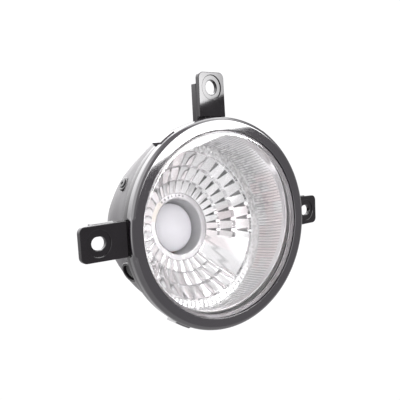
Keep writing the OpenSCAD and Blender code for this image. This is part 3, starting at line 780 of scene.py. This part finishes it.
def reflector_shade(a, j):
    """Colour painted onto the reflector: painted shade and painted reflections of dark surroundings between
    and on the facets and in the flutes, a painted warm reflection on the ring, speckles, and faint warm
    tints.
    """
    deg = degrees_round(a)
    i = int(round(a / TAU * COUNT)) % COUNT
    facet, u = i // PER_FACET, (i % PER_FACET) / PER_FACET
    k = j - SPLITS["ring"]
    if j < SPLITS["neck"]:
        return (1, 1, 1)
    if k < 0:
        q = (deg / RING_DOT_STEP) % 1.0
        dot = window(q, 0.35, 0.65, 0.12) * window(deg, 72, 128, 4) * (j - SPLITS["neck"] in (2, 3, 4))
        # a warm tint on the ring at the upper left: a painted reflection
        warm = 0.3 * window(deg, 128, 160, 8)
        keep = 1 - 0.8 * dot
        return (keep, keep * (1 - 0.15 * warm), keep * (1 - 0.5 * warm))
    if k < len(ROWS) * ROW_POINTS:
        row, t = divmod(k, ROW_POINTS)
        t /= ROW_POINTS - 1
        # dark wedges at the roots between facets: painted shade and painted reflections of the dark
        # surroundings, strongest on the right
        strength = 0.1 + 0.36 * window(deg, *TOP, 10) + 0.95 * window(deg, *RIGHT, 9)
        strength *= 0.7 + 0.3 * spread_of(facet, row, 1)
        half = (0.05 + 0.15 * t) * (1 - 0.4 * window(deg, *TOP, 10))
        off = abs((u + 0.5) % 1.0 - 0.5)
        wedge = (1 - soft(off, half * 0.75, half * 1.15)) * window(t, 0.12, 0.9, 0.1)
        keep = 1 - strength * wedge
        keep *= 0.86 + 0.14 * spread_of(facet, row, 2)
        # each facet darker towards its outer edge, and the outer rows darker on the right and top: painted
        # shade
        keep *= 1 - 0.1 * t - 0.12 * window(deg, *RIGHT_AND_TOP, 10) * (row > 0)
        # dark spots at the outer corners between facets at the upper left: painted shade
        if row < 2 and 60 < deg < 170 and off < 0.1 and t > 0.85:
            keep *= 0.4
        # grey streaks painted across the plain patch: painted reflections
        plain = patch(a)
        if plain > 0:
            streak = max(0.0, math.sin(deg * 0.2 + k * 0.3 + 0.6 * math.sin(deg * 0.6))) ** 5
            keep += (0.94 - 0.3 * streak - keep) * plain
        warm = window(deg, -30, 12, 8) * spread_of(facet, row, 3) * 0.13
        return (keep, keep * (1 - 0.6 * warm), keep * (1 - 0.55 * warm))
    k -= len(ROWS) * ROW_POINTS
    dots = window(deg, *DOTTED, 12)
    # the step has one more point at each end
    step_end = STEP_POINTS + 2
    if k < step_end:
        keep = 1 - (0.32 + 0.2 * dots) * spread_of(i // 5, k, 4)
        return (keep, keep, keep)
    if k < step_end + FLUTE_POINTS:
        v = (i % FLUTE) / FLUTE
        # dark lines along one side of each flute: painted shade in the grooves
        keep = 1 - 0.46 * (v < 0.3)
        dotted = k < step_end + FLUTE_POINTS / 2 and spread_of(i // FLUTE, k, 7) > 0.55
        keep *= 1 - 0.28 * dots * dotted
        warm = 0.1 * window(deg, -40, 25, 10) * spread_of(i // 24, k // 4, 5)
        return (keep, keep * (1 - warm), keep * (1 - warm))
    return (0.92, 0.9, 0.91)


def reflector_index(j):
    """The material at each point of the outline."""
    if j < SPLITS["neck"] - 2:
        return NECK_PART
    if j < SPLITS["ring"]:
        return RING_PART
    if j < SPLITS["ring"] + len(ROWS) * ROW_POINTS:
        return COATED
    return FLUTED_PART if j < SPLITS["mirror"] else UNCOATED


done(
    lathe("reflector_bowl", reflector_profile, BEAM, [MIRROR, BMC, NECK, RING, FLUTED], n=COUNT, smooth=20,
          index_fn=reflector_index, shade_fn=reflector_shade),
    REFL, "mirror_coat", "reflector",
)
ARM_D, ARM_T, ARM_HALF, NUT_HALF = 40.0, 2.0, 6.5, 3.1
ARM_END, ARM_ROOT, NUT_SLOT_END = AIM_R - 4, -16.6, AIM_R + 4.7
arm = fillet(
    [(-ARM_HALF, ARM_END), (-NUT_HALF, ARM_END), (-NUT_HALF, NUT_SLOT_END), (NUT_HALF, NUT_SLOT_END),
     (NUT_HALF, ARM_END), (ARM_HALF, ARM_END), (ARM_HALF, ARM_ROOT), (-ARM_HALF, ARM_ROOT)],
    [1, 0.4, 0.8, 0.8, 0.4, 1, 0.2, 0.2])
done(
    plate("aim_arm", [arm], ARM_T, at(BEAM, z=-ARM_D + ARM_T / 2), [BMC], 0.25), REFL, "mirror_coat",
)
for k, side in enumerate((1, -1)):
    turned(
        f"pivot_lug_{k}",
        sleeve(1.52, 3.2, 46.9, 49.2),
        [0, 0, 0.4, 0.2],
        axes(PIVOT, (side, 0, 0)), BMC, 64, REFL, "mirror_coat",
    )

# ---------------------------------------------------------------- bulb
GLOBE_R, GLOBE_D, GLOBE_RISE, GLOBE_REAR = 13.9, 42.5, 5.2, 9.0


def globe_line(inset):
    """The globe's outline from the middle of its flattened front to its neck."""
    out = []
    for a in np.radians(np.linspace(89.9, -57, 48)):
        depth = GLOBE_RISE if a > 0 else GLOBE_REAR
        out.append((max(0.02, (GLOBE_R - inset) * math.cos(a)), -GLOBE_D + (depth - inset) * math.sin(a)))
    return out


done(
    lathe("globe", globe_line(0) + [(7.1, -51), (7.0, -52), (7.0, -60), (6.3, -60), (6.3, -52), (6.4, -51)]
          + globe_line(0.7)[::-1], BEAM, [PEARL_PAINTED_GLOW], n=160, smooth=60), BULB, "pearl_glass", "bulb_globe")
turned(
    "glass_stem",
    [(0.02, -50.5), (2.2, -50.5), (2.2, -57.5), (6.2, -60), (6.2, -61), (0.02, -61)],
    [0, 0.8, 1.5, 0.3, 0.2, 0],
    BEAM, STEM, 64, BULB, "stem_glass", "bulb_stem",
)
turned(
    "brass_cap",
    [(7.1, -56.6), (7.5, -56.6), (7.5, -60.3), (7.35, -60.6), (7.5, -60.9), (7.5, -69.5),
     (6.4, -71), (6.02, -71), (6.02, -70.7), (7.1, -69.2)],
    [0.1, 0.15, 0.1, 0.15, 0.1, 0.5, 0.3, 0.05, 0.05, 0.3],
    BEAM, BRASS, 128, BULB, "brass", "bulb_cap", steps=4,
)
turned(
    "bulb_end_contact_detail",
    [(0.01, -73.6), (1.6, -73.4), (2.2, -72.8), (2.2, -69.6), (0.01, -69.6)],
    [0, 0.3, 0.3, 0.1, 0],
    BEAM, SOLDER, 64, BULB, "solder", "bulb_end_contact",
)


def beam_pts(points):
    return [BEAM @ Vector((x * MM, y * MM, z * MM)) for x, y, z in points]


WIRE_X, WIRE_R = 3.4, 0.28
COIL_R, COIL_TURNS = 0.5, 12
for k, side in enumerate((1, -1)):
    line = [(side * 1.4, 0, -50.6), (side * 1.4, 0, -49.4), (side * 1.7, 0, -48.7), (side * 3.1, 0, -47.4),
            (side * WIRE_X, 0, -46.8), (side * WIRE_X, 0, -GLOBE_D)]
    wire = done(tube(f"support_wire_{k}", beam_pts(line), WIRE_R * MM, [STEEL]), BULB, "steel")
    if k == 0:
        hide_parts("bulb_support_wires")
coil = [(x, COIL_R * math.cos(t), -GLOBE_D + COIL_R * math.sin(t))
        for x, t in ((-WIRE_X + 2 * WIRE_X * i / 200, TAU * COIL_TURNS * i / 200) for i in range(201))]
done(tube("filament_coil", beam_pts(coil), 0.1 * MM, [TUNGSTEN], 2), BULB, "tungsten", "bulb_filament")

# ---------------------------------------------------------------- bulb holder
CUP_R, CUP_END = 11.5, 78.0
LUGS, LUG_HALF = 3, math.asin(3.5 / 15)
GRIPS, FIRST_GRIP = 6, 30
turned(
    "holder_cup",
    [(12.9, -47.5), (14.0, -47.5), (14.0, -52), (17, -52), (17, -54.5), (CUP_R + 0.6, -54.5), (CUP_R, -55.4),
     (CUP_R, -CUP_END), (0.02, -CUP_END), (0.02, -76), (7.6, -76), (7.6, -57), (9.4, -56), (12.9, -49.9)],
    [0.15, 0.2, 0.1, 0.3, 0.4, 0.3, 0.3, 0.8, 0, 0, 0.3, 0.2, 0.3, 0.3],
    BEAM, SATIN, 192, BULB, "holder_black", "bulb_holder", steps=4,
)
for k in range(LUGS):
    middle = k * TAU / LUGS
    turned(
        f"holder_lug_{k}",
        [(13.6, -47.6), (15.3, -47.8), (15.3, -49.35), (13.6, -49.35)],
        [0, 0.3, 0.2, 0],
        BEAM, SATIN, 12, BULB, "holder_black", start=middle - LUG_HALF, end=middle + LUG_HALF,
    )
grip = fillet(
    [(CUP_R - 0.6, 54.2), (13.9, 54.2), (13.9, 76), (12.9, 77.9), (CUP_R - 0.6, 77.9)],
    [0, 0.6, 0.8, 0.8, 0.2])
for k in range(GRIPS):
    turn = BEAM @ Matrix.Rotation(math.radians(FIRST_GRIP + 360 / GRIPS * k), 4, "Z")
    upright = turn @ Matrix(((1, 0, 0), (0, 0, 1), (0, -1, 0))).to_4x4()
    done(plate(f"holder_grip_{k}", [grip], 2, at(upright, z=1), [SATIN], 0.35), BULB, "holder_black")
SHELL = (18.0, 12.0, 14.0)
SHELL_WALL = 1.5
half_w, half_h = SHELL[0] / 2, SHELL[1] / 2
in_w, in_h = half_w - SHELL_WALL, half_h - SHELL_WALL
done(
    plate("connector_shell",
          [rounded_rect(-half_w, half_w, -half_h, half_h, 1.6), rounded_rect(-in_w, in_w, -in_h, in_h, 0.8)],
          SHELL[2] + 0.6, at(BEAM, z=-CUP_END + 0.6), [SATIN], 0.3), BULB, "holder_black")
done(
    plate("connector_floor", [rounded_rect(1 - half_w, half_w - 1, 1 - half_h, half_h - 1, 0.6)],
          1.0, at(BEAM, z=-CUP_END + 0.4), [SATIN], 0.2), BULB, "holder_black")
done(
    plate("connector_catch", [rounded_rect(-2.2, 2.2, CUP_END + 8.6, CUP_END + 11.5, 0.5)], 1.6,
          at(BEAM, y=half_h + 1.2) @ Matrix.Rotation(-math.pi / 2, 4, "X"), [SATIN], 0.3),
    BULB, "holder_black")
SPRING_SWEEP = TAU * 2.5
spring = [(1.7 * math.cos(t), 1.7 * math.sin(t), -75.0 + 1.2 * t / SPRING_SWEEP)
          for t in np.linspace(0, SPRING_SWEEP, 90)]
done(tube("contact_coil", beam_pts(spring), 0.22 * MM, [STEEL], 2), BULB, "steel", "contact_spring")

# ---------------------------------------------------------------- aim screw
HEAD_D = REAR_D + 0.1
PITCH, CREST_R, ROOT_R, HEX_CORNER = 0.8, 2.0, 1.62, 4.0
SHANK_END, THREAD_FROM, THREAD_TO = -35.0, -36.2, -HEAD_D + 7


def thread(a):
    """The aim screw's outline at angle a, with a fine pitch and a hexagonal head."""
    shift = a / TAU * PITCH
    z = THREAD_FROM
    out = [(0.02, SHANK_END), (1.3, SHANK_END), (1.7, SHANK_END - 0.5)]
    while z > THREAD_TO:
        out += [(CREST_R, z + shift), (ROOT_R, z + shift - PITCH / 2)]
        z -= PITCH
    out += [(1.98, -HEAD_D + 5.6), (1.98, -HEAD_D + 0.05), (4.3, -HEAD_D), (4.6, -HEAD_D - 0.25),
            (4.6, -HEAD_D - 0.95), (4.3, -HEAD_D - 1.2)]
    r = HEX_CORNER * math.cos(math.pi / 6) / math.cos((a + math.pi / 6) % (math.pi / 3) - math.pi / 6)
    out += [(r, -HEAD_D - 1.25), (r, -HEAD_D - 4.5), (r - 0.5, -HEAD_D - 5), (1.9, -HEAD_D - 5),
            (1.7, -HEAD_D - 4.8), (1.5, -HEAD_D - 2.6), (0.02, -HEAD_D - 2.6)]
    return out


done(lathe("aim_screw_detail", thread, AIM, [STEEL], n=72, smooth=30), SCREW, "zinc_steel", "aim_screw")

# ---------------------------------------------------------------- studio
def flat_material(name, color, strength=0.0, rough=0.6):
    m = bpy.data.materials.new(name)
    m.use_nodes = True
    b = m.node_tree.nodes["Principled BSDF"]
    b.inputs["Base Color"].default_value = (*color, 1)
    b.inputs["Roughness"].default_value = rough
    b.inputs["Emission Color"].default_value = (*color, 1)
    b.inputs["Emission Strength"].default_value = strength
    return m


def card(name, centre, toward, width, height, mat):
    M = axes(Vector(centre), Vector(toward) - Vector(centre))
    pts = [M @ Vector((x * width / 2, y * height / 2, 0)) for x, y in ((-1, -1), (1, -1), (1, 1), (-1, 1))]
    mesh = bpy.data.meshes.new(name)
    mesh.from_pydata([tuple(p) for p in pts], [], [(0, 1, 2, 3)])
    mesh.materials.append(mat)
    ob = bpy.data.objects.new(name, mesh)
    bpy.context.scene.collection.objects.link(ob)
    ob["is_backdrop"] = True
    return ob


lo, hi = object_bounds()
FLOOR_Z = lo.z - 0.25
FLOOR_X, FLOOR_Y, FLOOR_W, FLOOR_D = 2.0, 2.95, 8, 6
FLOOR_WHITE = flat_material("floor_white", (0.95, 0.95, 0.95), 0.1)
card("floor", (FLOOR_X, FLOOR_Y, FLOOR_Z), (FLOOR_X, FLOOR_Y, 1), FLOOR_W, FLOOR_D, FLOOR_WHITE)


class Maths:
    """Short names for the maths nodes of one node tree."""

    def __init__(self, tree):
        self.tree = tree

    def op(self, kind, *values):
        node = self.tree.nodes.new("ShaderNodeMath")
        node.operation = kind
        for socket, value in zip(node.inputs, values):
            if isinstance(value, (int, float)):
                socket.default_value = value
            else:
                self.tree.links.new(value, socket)
        return node.outputs[0]

    def add(self, a, b):
        return self.op("ADD", a, b)

    def mul(self, a, b):
        return self.op("MULTIPLY", a, b)

    def ramp(self, value, start, end):
        """Rises smoothly from 0 to 1 between start and end."""
        node = self.tree.nodes.new("ShaderNodeMapRange")
        node.interpolation_type = "SMOOTHSTEP"
        node.inputs["From Min"].default_value = min(start, end)
        node.inputs["From Max"].default_value = max(start, end)
        node.inputs["To Min"].default_value = 0 if start < end else 1
        node.inputs["To Max"].default_value = 1 if start < end else 0
        self.tree.links.new(value, node.inputs["Value"])
        return node.outputs["Result"]

    def band(self, value, low, full_from, full_to, high):
        """1 between full_from and full_to, and 0 below low and above high."""
        return self.mul(self.ramp(value, low, full_from), self.ramp(value, high, full_to))


world = bpy.data.worlds.new("studio")
bpy.context.scene.world = world
world.use_nodes = True
tree = world.node_tree
background = tree.nodes["Background"]
coord = tree.nodes.new("ShaderNodeTexCoord")
sep = tree.nodes.new("ShaderNodeSeparateXYZ")
tree.links.new(coord.outputs["Generated"], sep.inputs[0])
maths = Maths(tree)
east, north = sep.outputs["X"], sep.outputs["Y"]
# bearing from straight ahead of the lamp towards +X, and height above the horizon, in degrees
bearing = maths.mul(maths.op("ARCTAN2", east, maths.mul(north, -1)), math.degrees(1))
height = maths.mul(maths.op("ARCSINE", sep.outputs["Z"]), math.degrees(1))

# how bright the studio is, and what each light or dark card in it adds
STUDIO, AHEAD, HIGH_RIGHT, LEFT, BEHIND = 1.04, 0.1, 2.6, 2.4, 4.2
SIDE_CARD, FLAG = -0.8, -0.42
LONG_LAMP, LAMP_FADE = 30, -19

# the long lamp stands on a sloping line: the bearing where it meets the horizon, and its slope
EDGE_BEARING, EDGE_SLOPE = 34, 0.35
above = maths.add(height, maths.mul(maths.add(bearing, -EDGE_BEARING), -EDGE_SLOPE))
lamp = maths.mul(maths.band(bearing, 16, 24, 38, 45), maths.band(above, 1.95, 2.25, 18, 38))
lamp = maths.mul(lamp, maths.add(LONG_LAMP, maths.mul(maths.ramp(above, 4, 8), LAMP_FADE)))
# a dark flag stands below the lamp, and a dark card at the right
flag = maths.mul(maths.band(bearing, 6, 16, 60, 72),
                 maths.mul(maths.ramp(above, 2.1, 1.8), maths.ramp(height, -26, -17)))
card_at_right = maths.mul(maths.band(bearing, 72, 84, 110, 118), maths.band(height, 0, 8, 42, 55))
# soft lights: ahead of the lamp, high at the right, at the left and behind
ahead = maths.ramp(north, 0.3, -0.6)
high_right = maths.mul(maths.ramp(height, 26, 44), maths.ramp(bearing, 15, 42))
left = maths.mul(maths.band(bearing, -135, -105, -50, -25), maths.band(height, -30, -5, 50, 75))
behind = maths.mul(maths.ramp(height, -10, 28),
                   maths.mul(maths.ramp(north, 0.2, 0.5), maths.ramp(east, 0.6, 0.36)))
level = STUDIO
for light, amount in ((ahead, AHEAD), (high_right, HIGH_RIGHT), (left, LEFT), (behind, BEHIND)):
    level = maths.add(level, maths.mul(light, amount))
for dark, amount in ((card_at_right, SIDE_CARD), (flag, FLAG)):
    level = maths.mul(level, maths.add(1, maths.mul(dark, amount)))
tree.links.new(maths.add(level, lamp), background.inputs["Strength"])
background.inputs["Color"].default_value = (1.0, 0.995, 1.005, 1)


def softbox(name, direction, distance, width, depth, power):
    """A rectangular light that shines at the origin."""
    light = bpy.data.lights.new(name, "AREA")
    light.shape = "RECTANGLE"
    light.size, light.size_y = width, depth
    light.energy = power
    ob = bpy.data.objects.new(name, light)
    bpy.context.scene.collection.objects.link(ob)
    d = Vector(direction).normalized()
    ob.location = d * distance
    ob.rotation_mode = "QUATERNION"
    ob.rotation_quaternion = d.to_track_quat("Z", "Y")


softbox("softbox_top", direction=(0.35, 0.1, 1.0), distance=0.9, width=0.9, depth=0.6, power=3)

# ---------------------------------------------------------------- camera
CAM_AZ, CAM_EL, CAM_DIST, CAM_ROLL = -41.6, 7.8, 0.300, -2.6
SENSOR, LENS_RATIO = 36, 1.459
SHIFT_X, SHIFT_Y = -0.067, 0.063
cam_data = bpy.data.cameras.new("camera")
cam = bpy.data.objects.new("camera", cam_data)
bpy.context.scene.collection.objects.link(cam)
bpy.context.scene.camera = cam
az, el = math.radians(CAM_AZ), math.radians(CAM_EL)
to_cam = Vector((math.sin(az) * math.cos(el), -math.cos(az) * math.cos(el), math.sin(el)))
cam.location = RIM.translation + to_cam * CAM_DIST
cam.rotation_mode = "QUATERNION"
look = (-to_cam).to_track_quat("-Z", "Y")
cam.rotation_quaternion = look @ Matrix.Rotation(math.radians(CAM_ROLL), 3, "Z").to_quaternion()
cam_data.sensor_width = SENSOR
cam_data.lens = SENSOR * LENS_RATIO
cam_data.shift_x = SHIFT_X
cam_data.shift_y = SHIFT_Y
cam_data.clip_start, cam_data.clip_end = 0.01, 50
bpy.context.scene.view_settings.view_transform = "Standard"

lo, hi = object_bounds()
